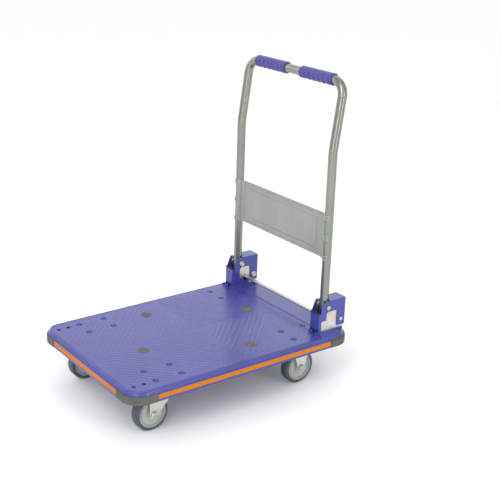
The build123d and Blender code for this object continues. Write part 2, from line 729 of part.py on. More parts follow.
with BuildPart() as kingpin_draft:
    with BuildSketch(Plane.XY.offset(mount_face)):
        Circle(kingpin_radius + 4)
    extrude(amount=-plate_wall / 2)
    with BuildSketch(Plane.XY.offset(mount_face)):
        Circle(kingpin_radius)
    extrude(amount=crown_under - side_play - nut_height - 1 - mount_face)

with BuildPart() as kingpin_nut_draft:
    with BuildSketch(Plane.XY.offset(crown_under - side_play)):
        RegularPolygon(kingpin_radius + 3.5, 6, major_radius=False)
        Circle(kingpin_radius, mode=Mode.SUBTRACT)
    extrude(amount=-nut_height)

with BuildPart() as ball_draft:
    with Locations((0, 0, plate_under - race_height / 2)):
        with PolarLocations(ball_circle, ball_count):
            Sphere(ball_radius)

# swivel fork: round crown, and two legs that trail to the axle
with BuildPart() as swivel_fork_draft:
    with BuildSketch(Plane.XY.offset(crown_under)):
        Circle(ball_circle + 9)
        with Locations((0, -(swivel_trail + 12) / 2)):
            Rectangle(2 * fork_outer, swivel_trail + 12)
    extrude(amount=crown_wall)
    with BuildSketch(Plane.XY.offset(crown_top)):
        Circle(ball_circle + 6)
        Circle(ball_circle - 7, mode=Mode.SUBTRACT)
    extrude(amount=race_height / 2 - 0.5)
    with Locations((0, 0, plate_under - race_height / 2)):
        Torus(ball_circle, ball_radius + side_play, mode=Mode.SUBTRACT)
    leg_outline = [
        (-swivel_trail - 12, crown_top),
        (-swivel_trail - 12, wheel_radius - 11),
        (-swivel_trail + 9, wheel_radius - 11),
        (-swivel_trail + 15, wheel_radius - 2),
        (ball_circle - 2, crown_under - 14),
        (ball_circle + 3, crown_top),
    ]
    for leg_start in (-fork_outer, fork_half):
        with BuildSketch(Plane.YZ.offset(leg_start)) as swivel_leg:
            Polygon(*leg_outline, align=None)
            fillet(swivel_leg.vertices().group_by(Axis.Y)[0], radius=7)
        extrude(amount=fork_wall)
    with Locations((0, 0, crown_under)):
        Cylinder(kingpin_radius + run_play, 6 * crown_wall, mode=Mode.SUBTRACT)
    with Locations(Location((0, -swivel_trail, wheel_radius), (0, 90, 0))):
        Cylinder(axle_radius, 4 * fork_outer, mode=Mode.SUBTRACT)

# rigid fork: plate and tapering legs in one pressing, with a stiffening bead down each leg
with BuildPart() as rigid_fork_draft:
    add(bolted_plate.part)
    rigid_outline = [
        (-34, mount_face - 1),
        (-30, crown_under),
        (-13, wheel_radius + 6),
        (-13, wheel_radius),
        (13, wheel_radius),
        (13, wheel_radius + 6),
        (30, crown_under),
        (34, mount_face - 1),
    ]
    for leg_start in (-fork_outer, fork_half):
        with BuildSketch(Plane.YZ.offset(leg_start)):
            Polygon(*rigid_outline, align=None)
            with Locations((0, wheel_radius)):
                Circle(13)
        extrude(amount=fork_wall)
    for bead_start in (-fork_outer - 1.2, fork_outer):
        with BuildSketch(Plane.YZ.offset(bead_start)):
            with Locations((14, (wheel_radius + 24 + plate_under) / 2)):
                RectangleRounded(7, plate_under - wheel_radius - 24, 3)
        extrude(amount=1.2)
    with Locations(Location((0, 0, wheel_radius), (0, 90, 0))):
        Cylinder(axle_radius, 4 * fork_outer, mode=Mode.SUBTRACT)

# wheel pieces and axle, drawn about an axle above the origin
with BuildPart() as tyre_draft:
    with BuildSketch(axle_plane(0, 0)) as tread:
        with Locations((0, wheel_radius - tyre_wall / 2)):
            Rectangle(wheel_width, tyre_wall)
        fillet(tread.vertices().group_by(Axis.Y)[-1], radius=6)
    revolve(axis=Axis((0, 0, wheel_radius), (1, 0, 0)))

rim_radius = wheel_radius - tyre_wall
with BuildPart() as wheel_centre_draft:
    half_width = wheel_width / 2
    with BuildSketch(axle_plane(0, 0)):
        with Locations((0, (rim_radius + bearing_radius) / 2)):
            Rectangle(wheel_width - 6, rim_radius - bearing_radius)
        with Locations((0, rim_radius - 1.75)):
            Rectangle(wheel_width - 1.6, 3.5)
        with Locations((0, bearing_radius + 2.5)):
            Rectangle(2 * (fork_half - side_play), 5)
        for face_side in (1, -1):
            with Locations((face_side * (half_width - 3.6), rim_radius - 6)):
                Rectangle(2.4, 1.8, mode=Mode.SUBTRACT)
    revolve(axis=Axis((0, 0, wheel_radius), (1, 0, 0)))

with BuildPart() as bearing_draft:
    with BuildSketch(axle_plane(0, 0)):
        with Locations((0, (axle_radius + run_play + bearing_radius) / 2)):
            Rectangle(2 * (fork_half - side_play), bearing_radius - axle_radius - run_play)
    revolve(axis=Axis((0, 0, wheel_radius), (1, 0, 0)))

axle_end = fork_outer + axle_nut_height + 2
with BuildPart() as axle_draft:
    with BuildSketch(Plane.YZ.offset(fork_outer)):
        with Locations((0, wheel_radius)):
            RegularPolygon(axle_nut_flats / 2, 6, major_radius=False)
    extrude(amount=6)
    chamfer(axle_draft.faces().sort_by(Axis.X)[-1].edges(), length=1)
    with BuildSketch(Plane.YZ.offset(-axle_end)):
        with Locations((0, wheel_radius)):
            Circle(axle_radius)
    extrude(amount=axle_end + fork_outer)

with BuildPart() as axle_nut_draft:
    with BuildSketch(Plane.YZ.offset(-fork_outer - axle_nut_height)):
        with Locations((0, wheel_radius)):
            RegularPolygon(axle_nut_flats / 2, 6, major_radius=False)
            Circle(axle_radius, mode=Mode.SUBTRACT)
    extrude(amount=axle_nut_height)

for side_name, side in sides.items():
    swivel_at = (side * caster_x, -caster_y)
    axle_at = (side * caster_x, -caster_y - swivel_trail)
    pieces = {
        f"swivel_plate_{side_name}": (plate_draft, swivel_at),
        f"swivel_balls_{side_name}": (ball_draft, swivel_at),
        f"kingpin_{side_name}": (kingpin_draft, swivel_at),
        f"swivel_fork_{side_name}": (swivel_fork_draft, swivel_at),
        f"front_axle_{side_name}": (axle_draft, axle_at),
        f"front_axle_nut_{side_name}": (axle_nut_draft, axle_at),
        f"rigid_fork_{side_name}": (rigid_fork_draft, (side * caster_x, caster_y)),
    }
    for end_name, wheel_at in (("front", axle_at), ("rear", (side * caster_x, caster_y))):
        pieces[f"{end_name}_tyre_{side_name}"] = (tyre_draft, wheel_at)
        pieces[f"{end_name}_wheel_centre_{side_name}"] = (wheel_centre_draft, wheel_at)
        pieces[f"{end_name}_bearing_{side_name}"] = (bearing_draft, wheel_at)
    for name, (draft, place) in pieces.items():
        with BuildPart() as piece:
            add(move_to(draft.part, *place))
            if side < 0 and draft in (axle_draft, axle_nut_draft):
                mirrored = mirror(piece.part, about=Plane.YZ.offset(place[0]), mode=Mode.REPLACE)
        piece.part.label = name
        export_step(piece.part, f"parts/{name}.step")

with BuildPart() as kingpin_nuts:
    for side in sides.values():
        add(move_to(kingpin_nut_draft.part, side * caster_x, -caster_y))
kingpin_nuts.part.label = "kingpin_nuts"
export_step(kingpin_nuts.part, "parts/kingpin_nuts.step")

for name, draft in (("rear_axles", axle_draft), ("rear_axle_nuts", axle_nut_draft)):
    with BuildPart() as rear_pair:
        add(move_to(draft.part, caster_x, caster_y))
        mirror(about=Plane.YZ)
    rear_pair.part.label = name
    export_step(rear_pair.part, f"parts/{name}.step")


# ---- handle -----------------------------------------------------------------------------------
panel_low = pivot_z + panel_rise
panel_middle = panel_low + panel_height / 2
panel_top = panel_low + panel_height
rivet_rows = (panel_low + tab_height / 2, panel_middle, panel_top - tab_height / 2)
wrap_start = 180 + 18       # degrees, where the sheet meets the left leg's inner side


def rivet_place(side, at_z, out):
    """A place out from a leg's middle, its axis pointing away from the leg through the tab."""
    angle = radians(wrap_start + (wrap_full + wrap_tab) / 2)
    away = (side * cos(angle), sin(angle), 0)
    place = Plane((side * leg_x + out * away[0], pivot_y + out * away[1], at_z), z_dir=away)
    return place.location


with BuildPart() as handle_tube:
    with BuildLine() as route:
        FilletPolyline(
            (leg_x, pivot_y, pivot_z - leg_tail),
            (leg_x, pivot_y, pivot_z + kink_rise),
            (leg_x, bar_y, bar_z),
            (-leg_x, bar_y, bar_z),
            (-leg_x, pivot_y, pivot_z + kink_rise),
            (-leg_x, pivot_y, pivot_z - leg_tail),
            radius=[kink_radius, bar_corner, bar_corner, kink_radius],
        )
    with BuildSketch(Plane((leg_x, pivot_y, pivot_z - leg_tail))):
        Circle(tube_radius)
        Circle(tube_radius - tube_wall, mode=Mode.SUBTRACT)
    sweep()
    for side in sides.values():
        with Locations(Location((side * leg_x, pivot_y, pivot_z), (0, 90, 0))):
            Cylinder(pin_radius + run_play, 2 * tube_dia, mode=Mode.SUBTRACT)
        for rivet_z in rivet_rows:
            with Locations(rivet_place(side, rivet_z, tube_radius)):
                Cylinder(rivet_radius + rivet_play, 4 * tube_wall, mode=Mode.SUBTRACT)
handle_tube.part.label = "handle_tube"
export_step(handle_tube.part, "parts/handle_tube.step")

# lock plates: a neck inside each leg, and a foot below it with a notch for the lever's tooth
for side_name, side in sides.items():
    with BuildPart() as lock_plate:
        with BuildSketch(Plane.YZ.offset(side * leg_x - lever_thick / 2)):
            neck_half = tube_radius - tube_wall - 0.8
            neck_top = pivot_z + 2 * pin_radius
            neck_low = pivot_z - leg_tail - 0.3
            with Locations((pivot_y, (neck_top + neck_low) / 2)):
                Rectangle(2 * neck_half, neck_top - neck_low)
            with Locations((pivot_y, neck_low - lock_radius / 2)):
                Rectangle(2 * tube_radius, lock_radius)
            with Locations((pivot_y, pivot_z)):
                Circle(lock_radius, mode=Mode.INTERSECT)
                Circle(pin_radius + run_play, mode=Mode.SUBTRACT)
            notch_at = (pivot_y + tooth_back, pivot_z - lock_radius + 1)
            with Locations(notch_at):
                Rectangle(tooth_width + 2, 8, mode=Mode.SUBTRACT)
        extrude(amount=lever_thick)
    lock_plate.part.label = f"lock_plate_{side_name}"
    export_step(lock_plate.part, f"parts/lock_plate_{side_name}.step")

# tie panel: pressed sheet with a raised field and rolled edges, wrapped round both legs
joggle_x = leg_x - joggle_from_leg
field_margin_x = 24.0
field_margin_z = 20.0
with BuildPart() as tie_panel:
    with BuildSketch(Plane.XY.offset(panel_low + hem_radius)):
        with Locations((0, pivot_y)):
            Rectangle(2 * joggle_x, panel_wall)
    extrude(amount=panel_height - 2 * hem_radius)
    # rolled edges
    for hem_z in (panel_low + hem_radius, panel_top - hem_radius):
        with BuildSketch(Plane.YZ.offset(-joggle_x)):
            with Locations((pivot_y, hem_z)):
                Circle(hem_radius)
        extrude(amount=2 * joggle_x)
        with BuildSketch(Plane.YZ.offset(-joggle_x)):
            with Locations((pivot_y, hem_z)):
                Circle(hem_radius - hem_wall)
        extrude(amount=2 * joggle_x, mode=Mode.SUBTRACT)
    # raised field
    sheet_front = Plane.XZ.offset(-pivot_y + panel_wall / 2)
    field_width = 2 * joggle_x - 2 * field_margin_x
    field_height = panel_height - 2 * field_margin_z
    with BuildSketch(sheet_front):
        with Locations((0, panel_middle)):
            Rectangle(field_width, field_height)
    extrude(amount=panel_emboss, taper=40)
    with BuildSketch(Plane.XZ.offset(-pivot_y - panel_wall / 2)):
        with Locations((0, panel_middle)):
            Rectangle(field_width - 3, field_height - 3)
    extrude(amount=panel_emboss, taper=40, mode=Mode.SUBTRACT)
    # steps forward at both ends and wraps round the legs
    wrap_out = tube_radius + panel_wall
    for side in sides.values():
        step_y = pivot_y - panel_joggle
        half = panel_wall / 2
        with BuildSketch(Plane.XY.offset(panel_low)):
            Polygon(
                (side * (joggle_x - 0.5), pivot_y - half),
                (side * (joggle_x - 0.5), pivot_y + half),
                (side * joggle_x, pivot_y + half),
                (side * (joggle_x + joggle_run), step_y + half),
                (side * (leg_x - tube_radius + 1), step_y + half),
                (side * (leg_x - tube_radius + 1), step_y - half),
                (side * (joggle_x + joggle_run), step_y - half),
                align=None,
            )
            with Locations((side * leg_x, pivot_y)):
                Circle(tube_radius, mode=Mode.SUBTRACT)
        extrude(amount=panel_height)
        wraps = [(panel_low, panel_height, wrap_full)]
        wraps += [(rivet_z - tab_height / 2, tab_height, wrap_tab) for rivet_z in rivet_rows]
        for wrap_low, wrap_height, wrap_turn in wraps:
            fan = [(side * leg_x, pivot_y)]
            for step in range(7):
                angle = radians(wrap_start - 2 + (wrap_turn + 2) * step / 6)
                fan.append((side * (leg_x + 2 * wrap_out * cos(angle)), pivot_y + 2 * wrap_out * sin(angle)))
            with BuildSketch(Plane.XY.offset(wrap_low)):
                with Locations((side * leg_x, pivot_y)):
                    Circle(wrap_out)
                    Circle(tube_radius, mode=Mode.SUBTRACT)
                Polygon(*fan, align=None, mode=Mode.INTERSECT)
            extrude(amount=wrap_height)
        for rivet_z in rivet_rows:
            with Locations(rivet_place(side, rivet_z, wrap_out)):
                Cylinder(rivet_radius + rivet_play, 4 * panel_wall, mode=Mode.SUBTRACT)
tie_panel.part.label = "tie_panel"
export_step(tie_panel.part, "parts/tie_panel.step")

# blind rivets that hold the tabs to the legs
with BuildPart() as panel_rivets:
    for side in sides.values():
        for rivet_z in rivet_rows:
            with Locations(rivet_place(side, rivet_z, wrap_out + 0.65)):
                Cylinder(rivet_head, 1.3)
            with Locations(rivet_place(side, rivet_z, tube_radius)):
                Cylinder(rivet_radius, 2 * panel_wall + 2 * tube_wall - 1)
panel_rivets.part.label = "panel_rivets"
export_step(panel_rivets.part, "parts/panel_rivets.step")

# grips: sleeves with soft rings
for side_name, side in sides.items():
    ring_length = (grip_length - 8) / grip_rings
    grip_plane = Plane((side * grip_gap / 2, bar_y, bar_z), x_dir=(side, 0, 0), z_dir=(0, -side, 0))
    with BuildPart() as grip:
        with BuildSketch(grip_plane):
            with BuildLine():
                Line((0, tube_radius), (0, grip_radius - 1))
                Line((0, grip_radius - 1), (1, grip_radius))
                Line((1, grip_radius), (4, grip_radius))
                for ring in range(grip_rings):
                    start = 4 + ring * ring_length
                    ThreePointArc(
                        (start, grip_radius),
                        (start + ring_length / 2, grip_radius - grip_ring / 2),
                        (start + ring_length, grip_radius),
                    )
                Line((grip_length - 4, grip_radius), (grip_length - 1, grip_radius))
                Line((grip_length - 1, grip_radius), (grip_length, grip_radius - 1))
                Line((grip_length, grip_radius - 1), (grip_length, tube_radius))
                Line((grip_length, tube_radius), (0, tube_radius))
            make_face()
        revolve(axis=Axis((0, bar_y, bar_z), (1, 0, 0)))
    grip.part.label = f"grip_{side_name}"
    export_step(grip.part, f"parts/grip_{side_name}.step")


# ---- foot latch ---------------------------------------------------------------------------------
for side_name, side in sides.items():
    with BuildPart() as lever:
        with BuildSketch(Plane.YZ.offset(side * leg_x - lever_thick / 2)):
            with Locations((latch_y, latch_z)):
                Circle(lever_hub)
            with Locations((release_y, release_z)):
                Circle(bar_radius + 2.5)
            Polygon(
                (latch_y, latch_z + 6),
                (release_y, release_z + 5),
                (release_y, release_z - 5),
                (latch_y, latch_z - 6),
                align=None,
            )
            with Locations((pivot_y + tooth_back, (release_z - 4 + pivot_z - lock_radius + 4) / 2)):
                Rectangle(tooth_width, lock_over_bar + 8)
            Polygon(
                (pivot_y + tooth_back - tooth_width / 2, release_z - 4),
                (release_y, release_z - 5),
                (release_y, release_z + 4),
                (pivot_y + tooth_back - tooth_width / 2, release_z + 4),
                align=None,
            )
            with Locations((pivot_y, pivot_z)):
                Circle(lock_radius + lock_play, mode=Mode.SUBTRACT)
        extrude(amount=lever_thick)
        hub_half = stand_half_in - side_play - 0.7
        with BuildSketch(Plane.YZ.offset(side * leg_x - hub_half)):
            with Locations((latch_y, latch_z)):
                Circle(lever_hub)
        extrude(amount=2 * hub_half)
        with Locations(Location((side * leg_x, latch_y, latch_z), (0, 90, 0))):
            Cylinder(latch_pin_radius + run_play, 3 * stand_half, mode=Mode.SUBTRACT)
        with Locations(Location((side * leg_x, release_y, release_z), (0, 90, 0))):
            Cylinder(bar_radius, 3 * stand_half, mode=Mode.SUBTRACT)
    lever.part.label = f"latch_lever_{side_name}"
    export_step(lever.part, f"parts/latch_lever_{side_name}.step")

with BuildPart() as release_bar:
    with Locations(Location((0, release_y, release_z), (0, 90, 0))):
        Cylinder(bar_radius, 2 * (leg_x + stand_half_in - 3))
    chamfer(release_bar.edges(), length=0.8)
release_bar.part.label = "release_bar"
export_step(release_bar.part, "parts/release_bar.step")

# torsion springs round the lever hubs
with BuildPart() as latch_springs:
    for side in sides.values():
        coil_length = hub_half - lever_thick / 2 - 3 * spring_wire
        coil_start = (side * (leg_x + lever_thick / 2 + 1.5 * spring_wire), latch_y, latch_z)
        with BuildLine() as coil:
            Helix(
                pitch=coil_length / spring_turns,
                height=coil_length,
                radius=spring_radius,
                center=coil_start,
                direction=(side, 0, 0),
            )
        with BuildSketch(Plane(coil.line @ 0, z_dir=coil.line % 0)):
            Circle(spring_wire / 2)
        sweep(path=coil.line, is_frenet=True)
latch_springs.part.label = "latch_springs"
export_step(latch_springs.part, "parts/latch_springs.step")
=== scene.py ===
import math

import bpy
from mathutils import Matrix, Vector


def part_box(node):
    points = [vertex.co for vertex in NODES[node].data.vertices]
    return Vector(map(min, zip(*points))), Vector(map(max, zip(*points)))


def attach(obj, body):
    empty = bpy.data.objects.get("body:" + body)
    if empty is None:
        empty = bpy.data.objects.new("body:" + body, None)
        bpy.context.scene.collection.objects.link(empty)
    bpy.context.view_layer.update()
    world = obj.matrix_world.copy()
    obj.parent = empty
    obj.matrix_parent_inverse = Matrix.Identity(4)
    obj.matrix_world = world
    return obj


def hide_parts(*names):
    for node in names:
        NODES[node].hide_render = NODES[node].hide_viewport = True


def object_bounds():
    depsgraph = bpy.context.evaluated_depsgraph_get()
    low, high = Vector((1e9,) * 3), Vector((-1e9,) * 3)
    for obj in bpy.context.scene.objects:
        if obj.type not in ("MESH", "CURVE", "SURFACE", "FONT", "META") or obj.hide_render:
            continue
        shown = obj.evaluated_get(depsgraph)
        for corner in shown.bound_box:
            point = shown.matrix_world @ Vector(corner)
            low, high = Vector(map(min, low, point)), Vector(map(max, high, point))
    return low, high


# Looks of the folding platform cart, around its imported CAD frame. Metres.

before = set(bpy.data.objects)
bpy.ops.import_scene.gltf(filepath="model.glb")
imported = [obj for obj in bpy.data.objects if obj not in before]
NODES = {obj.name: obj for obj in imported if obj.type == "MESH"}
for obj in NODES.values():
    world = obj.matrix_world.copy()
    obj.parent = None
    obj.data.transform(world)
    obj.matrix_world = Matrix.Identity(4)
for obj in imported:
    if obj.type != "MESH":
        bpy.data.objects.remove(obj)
CAD_LOW, CAD_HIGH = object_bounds()


# ---- node helpers -------------------------------------------------------------------------
class Shader:
    """A material's node tree with short ways to add and join nodes."""

    def __init__(self, name):
        self.material = bpy.data.materials.new(name)
        self.material.use_nodes = True
        self.tree = self.material.node_tree
        self.bsdf = self.tree.nodes["Principled BSDF"]

    def add(self, kind):
        return self.tree.nodes.new(kind)

    def join(self, source, target):
        self.tree.links.new(source, target)

    def noise(self, scale, detail=3.0, rough=0.55, stretch=None):
        node = self.add("ShaderNodeTexNoise")
        node.inputs["Scale"].default_value = scale
        node.inputs["Detail"].default_value = detail
        node.inputs["Roughness"].default_value = rough
        place = self.add("ShaderNodeTexCoord").outputs["Object"]
        if stretch:
            mapping = self.add("ShaderNodeMapping")
            mapping.inputs["Scale"].default_value = stretch
            self.join(place, mapping.inputs["Vector"])
            place = mapping.outputs["Vector"]
        self.join(place, node.inputs["Vector"])
        return node.outputs["Fac"]

    def ramp(self, value, stops):
        node = self.add("ShaderNodeValToRGB")
        band = node.color_ramp
        while len(band.elements) < len(stops):
            band.elements.new(0.5)
        for element, (place, colour) in zip(band.elements, stops):
            element.position = place
            element.color = (*colour, 1.0)
        self.join(value, node.inputs["Fac"])
        return node.outputs["Color"]

    def spread(self, value, low, high):
        """A noise value, which lies mostly between 0.3 and 0.7, mapped onto a range."""
        node = self.add("ShaderNodeMapRange")
        node.inputs["From Min"].default_value = 0.3
        node.inputs["From Max"].default_value = 0.7
        node.inputs["To Min"].default_value = low
        node.inputs["To Max"].default_value = high
        self.join(value, node.inputs["Value"])
        return node.outputs["Result"]

    def bump(self, heights, strengths, distance):
        last = None
        for height, strength in zip(heights, strengths):
            node = self.add("ShaderNodeBump")
            node.inputs["Strength"].default_value = strength
            node.inputs["Distance"].default_value = distance
            self.join(height, node.inputs["Height"])
            if last:
                self.join(last, node.inputs["Normal"])
            last = node.outputs["Normal"]
        self.join(last, self.bsdf.inputs["Normal"])


def scaled(colour, factor):
    """A colour made lighter or darker, at most 1 in each channel."""
    return tuple(min(1.0, c * factor) for c in colour)


def moulded(name, colour, rough, grain=1400.0, grain_strength=0.05, coat=0.0, specular=0.5):
    """Moulded resin: slight colour drift, fine grain, uneven gloss."""
    s = Shader(name)
    broad = s.noise(9.0, 4.0)
    drift = 0.06
    shades = [(0.3, scaled(colour, 1 - drift)), (0.7, scaled(colour, 1 + drift))]
    s.join(s.ramp(broad, shades), s.bsdf.inputs["Base Color"])
    s.join(s.spread(s.noise(38.0, 5.0), rough - 0.05, rough + 0.07), s.bsdf.inputs["Roughness"])
    s.bump([s.noise(grain, 2.0), s.noise(9.0, 1.0)], [grain_strength, 0.015], 0.0003)
    s.bsdf.inputs["Specular IOR Level"].default_value = specular
    s.bsdf.inputs["Coat Weight"].default_value = coat
    s.bsdf.inputs["Coat Roughness"].default_value = 0.12
    return s.material


def rubbery(name, colour, rough, dust=0.35):
    """Rubber: dust in pale clouds, matt patches, fine grain."""
    s = Shader(name)
    cloud = s.noise(22.0, 6.0, 0.62)
    pale = tuple(c + dust * (0.22 - c) for c in colour)
    s.join(s.ramp(cloud, [(0.35, colour), (0.75, pale)]), s.bsdf.inputs["Base Color"])
    s.join(s.spread(s.noise(60.0, 4.0), rough - 0.08, rough + 0.12), s.bsdf.inputs["Roughness"])
    s.bump([s.noise(700.0, 3.0)], [0.25], 0.0003)
    s.bsdf.inputs["Specular IOR Level"].default_value = 0.4
    return s.material


def plated(name, colour, rough=0.34, streak=(1.0, 1.0, 1.0)):
    """Zinc-plated steel: soft cloudy bloom, with faint lines where streak squeezes the noise."""
    s = Shader(name)
    bloom = s.noise(46.0, 6.0, 0.6)
    s.join(
        s.ramp(bloom, [(0.3, scaled(colour, 0.82)), (0.55, colour), (0.8, scaled(colour, 1.14))]),
        s.bsdf.inputs["Base Color"],
    )
    gloss = s.noise(120.0, 5.0, 0.6, stretch=streak)
    s.join(s.spread(gloss, rough - 0.08, rough + 0.12), s.bsdf.inputs["Roughness"])
    s.bump([s.noise(420.0, 3.0, 0.6, stretch=streak)], [0.10], 0.0002)
    s.bsdf.inputs["Metallic"].default_value = 1.0
    return s.material


def silver_paint(name, colour, rough=0.24, metal=0.85):
    """Metallic enamel: a faint cloudiness along the tube under a smooth lacquer."""
    s = Shader(name)
    cloud = s.noise(16.0, 4.0, stretch=(1.0, 1.0, 0.35))
    s.join(
        s.ramp(cloud, [(0.3, scaled(colour, 0.93)), (0.7, scaled(colour, 1.07))]),
        s.bsdf.inputs["Base Color"],
    )
    s.join(s.spread(s.noise(24.0, 3.0), rough - 0.02, rough + 0.03), s.bsdf.inputs["Roughness"])
    s.bump([s.noise(1500.0, 2.0)], [0.02], 0.0001)
    s.bsdf.inputs["Metallic"].default_value = metal
    s.bsdf.inputs["Coat Weight"].default_value = 0.3
    s.bsdf.inputs["Coat Roughness"].default_value = 0.15
    return s.material


BLUE_DECK = (0.050, 0.056, 0.275)
BLUE_COVER = (0.034, 0.042, 0.27)
ORANGE = (0.58, 0.178, 0.0006)
GREY_RUBBER = (0.060, 0.062, 0.047)
REST_BLACK = (0.012, 0.011, 0.014)
PAD_BROWN = (0.130, 0.098, 0.080)
SILVER = (0.235, 0.255, 0.222)
PANEL_SILVER = (0.30, 0.315, 0.285)
GRIP_BLUE = (0.055, 0.044, 0.25)
ZINC = (0.62, 0.61, 0.57)
BOLT_STEEL = (0.66, 0.66, 0.64)
PIN_STEEL = (0.56, 0.52, 0.48)
AXLE_STEEL = (0.52, 0.52, 0.50)
BEARING_STEEL = (0.5, 0.5, 0.49)
# blue resin caps over the caster bolts: their darker tone is partly the caps' own colour and partly
# painted shade of the shallow recess they sit in
CAP_BLUE_AND_RECESS_SHADE = (0.022, 0.058, 0.27)
TYRE = (0.050, 0.062, 0.082)
NYLON = (0.345, 0.37, 0.345)

# squeezes the noise along Z, so that the faint lines in the plating run level
DRAWN = (1.0, 1.0, 14.0)

looks = {
    "deck": moulded("deck resin", BLUE_DECK, 0.30, coat=0.15),
    "cover": moulded("cover resin", BLUE_COVER, 0.27, coat=0.3),
    "strip": moulded("orange insert", ORANGE, 0.5, grain_strength=0.06, specular=0.06),
    "bumper": rubbery("bumper rubber", GREY_RUBBER, 0.55),
    "rest": rubbery("rest rubber", REST_BLACK, 0.45, dust=0.05),
    "pad": rubbery("pad rubber", PAD_BROWN, 0.68, dust=0.4),
    "silver": silver_paint("silver enamel", SILVER),
    "panel": silver_paint("panel enamel", PANEL_SILVER, 0.40, 0.45),
    "grip": moulded("grip sleeve", GRIP_BLUE, 0.40, grain=1200.0, grain_strength=0.2),
    "zinc": plated("zinc plate", ZINC, streak=DRAWN),
    "bolt": plated("bolt steel", BOLT_STEEL, 0.28),
    "pin": plated("pin steel", PIN_STEEL, 0.40),
    "axle": plated("axle steel", AXLE_STEEL, 0.50),
    # the caps' colour includes painted shade of their recess
    "cap": moulded("bolt cap resin and painted recess shade", CAP_BLUE_AND_RECESS_SHADE, 0.5, specular=0.25),
    "tyre": rubbery("tyre rubber", TYRE, 0.52, dust=0.25),
    "hub": moulded("hub nylon", NYLON, 0.42),
    "bearing": plated("bearing steel", BEARING_STEEL, 0.25, streak=DRAWN),
}


def paint(node, look):
    slots = NODES[node].data.materials
    slots.clear()
    slots.append(looks[look])


PAINTED = {
    "deck": "deck",
    "side_strips": "strip",
    "end_strips": "strip",
    "deck_pads": "pad",
    "handle_rests": "rest",
    "stand_bolts": "bolt",
    "stand_nuts": "bolt",
    "caster_bolts": "cap",
    "caster_nuts": "bolt",
    "pivot_pins": "pin",
    "latch_pins": "pin",
    "pivot_washers": "bolt",
    "kingpin_nuts": "bolt",
    "rear_axles": "axle",
    "rear_axle_nuts": "bolt",
    "release_bar": "zinc",
    "latch_springs": "bolt",
    "handle_tube": "silver",
    "panel_rivets": "silver",
    "tie_panel": "panel",
}
for side in ("left", "right"):
    for end in ("front", "rear"):
        PAINTED[f"{end}_{side}_bumper"] = "bumper"
        PAINTED[f"{end}_tyre_{side}"] = "tyre"
        PAINTED[f"{end}_wheel_centre_{side}"] = "hub"
        PAINTED[f"{end}_bearing_{side}"] = "bearing"
    for name in ("stand", "lock_plate", "latch_lever", "swivel_plate", "swivel_fork", "rigid_fork"):
        PAINTED[f"{name}_{side}"] = "zinc"
    for name in ("swivel_balls", "kingpin", "front_axle_nut"):
        PAINTED[f"{name}_{side}"] = "bolt"
    PAINTED[f"front_axle_{side}"] = "axle"
    PAINTED[f"cover_{side}"] = "cover"
    PAINTED[f"grip_{side}"] = "grip"
for node, look in PAINTED.items():
    paint(node, look)


# ---- shapes the CAD leaves out ------------------------------------------------------------------
# where the CAD's own pieces stand on the deck, and the clear room each one keeps round it
DECK_TOP = 0.154
TOP_HALF_X, TOP_HALF_Y = 0.248, 0.363
PADS = [(0.1645, 0.071), (-0.1645, -0.071), (-0.0375, 0.2045), (0.0375, -0.2045)]
PAD_RADIUS = 0.0165
PAD_TOP = 0.1548
CASTER_BOLTS = [
    (sx * (0.1785 + bx), sy * (0.231 + by))
    for sx in (1, -1)
    for sy in (1, -1)
    for bx in (0.03, -0.03)
    for by in (0.04, -0.04)
]
BOLT_ROOM = 0.0095
CORNER_HOLES = [(sx * 0.208, y) for sx in (1, -1) for y in (-0.337, -0.307)]
HOLE_ROOM = 0.008
SEAT_X, SEAT_Y, SHELF_Y = 0.1869, 0.263, 0.288


def new_mesh(name, points, faces, look, body):
    """A smooth mesh in its look, on its moving body."""
    mesh = bpy.data.meshes.new(name)
    mesh.from_pydata([tuple(p) for p in points], [], faces)
    mesh.validate()
    mesh.update()
    for face in mesh.polygons:
        face.use_smooth = True
    thing = bpy.data.objects.new(name, mesh)
    bpy.context.scene.collection.objects.link(thing)
    mesh.materials.append(looks[look])
    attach(thing, body)
    return thing


def eased(value):
    """Smooth step from 0 to 1, flat at both ends."""
    value = max(0.0, min(1.0, value))
    return value * value * (3 - 2 * value)


def tread_room(x, y, side_x, side_y):
    """Distance from a place on the deck to the nearest edge of its quadrant's ribbed field."""
    margin, middle_gap = 0.023, 0.0035
    shelf_gap, pad_gap, seat_gap = 0.006, 0.003, 0.004
    room = min(
        side_x * x - middle_gap,
        side_y * y - middle_gap,
        TOP_HALF_X - margin - abs(x),
        TOP_HALF_Y - margin - abs(y),
        SHELF_Y - shelf_gap - y,
    )
    rounds = ((PADS, PAD_RADIUS + pad_gap), (CASTER_BOLTS, BOLT_ROOM), (CORNER_HOLES, HOLE_ROOM))
    for spots, radius in rounds:
        for spot_x, spot_y in spots:
            room = min(room, math.hypot(x - spot_x, y - spot_y) - radius)
    seat = max(SEAT_X - seat_gap - abs(x), SEAT_Y - seat_gap - y)
    return min(room, seat)


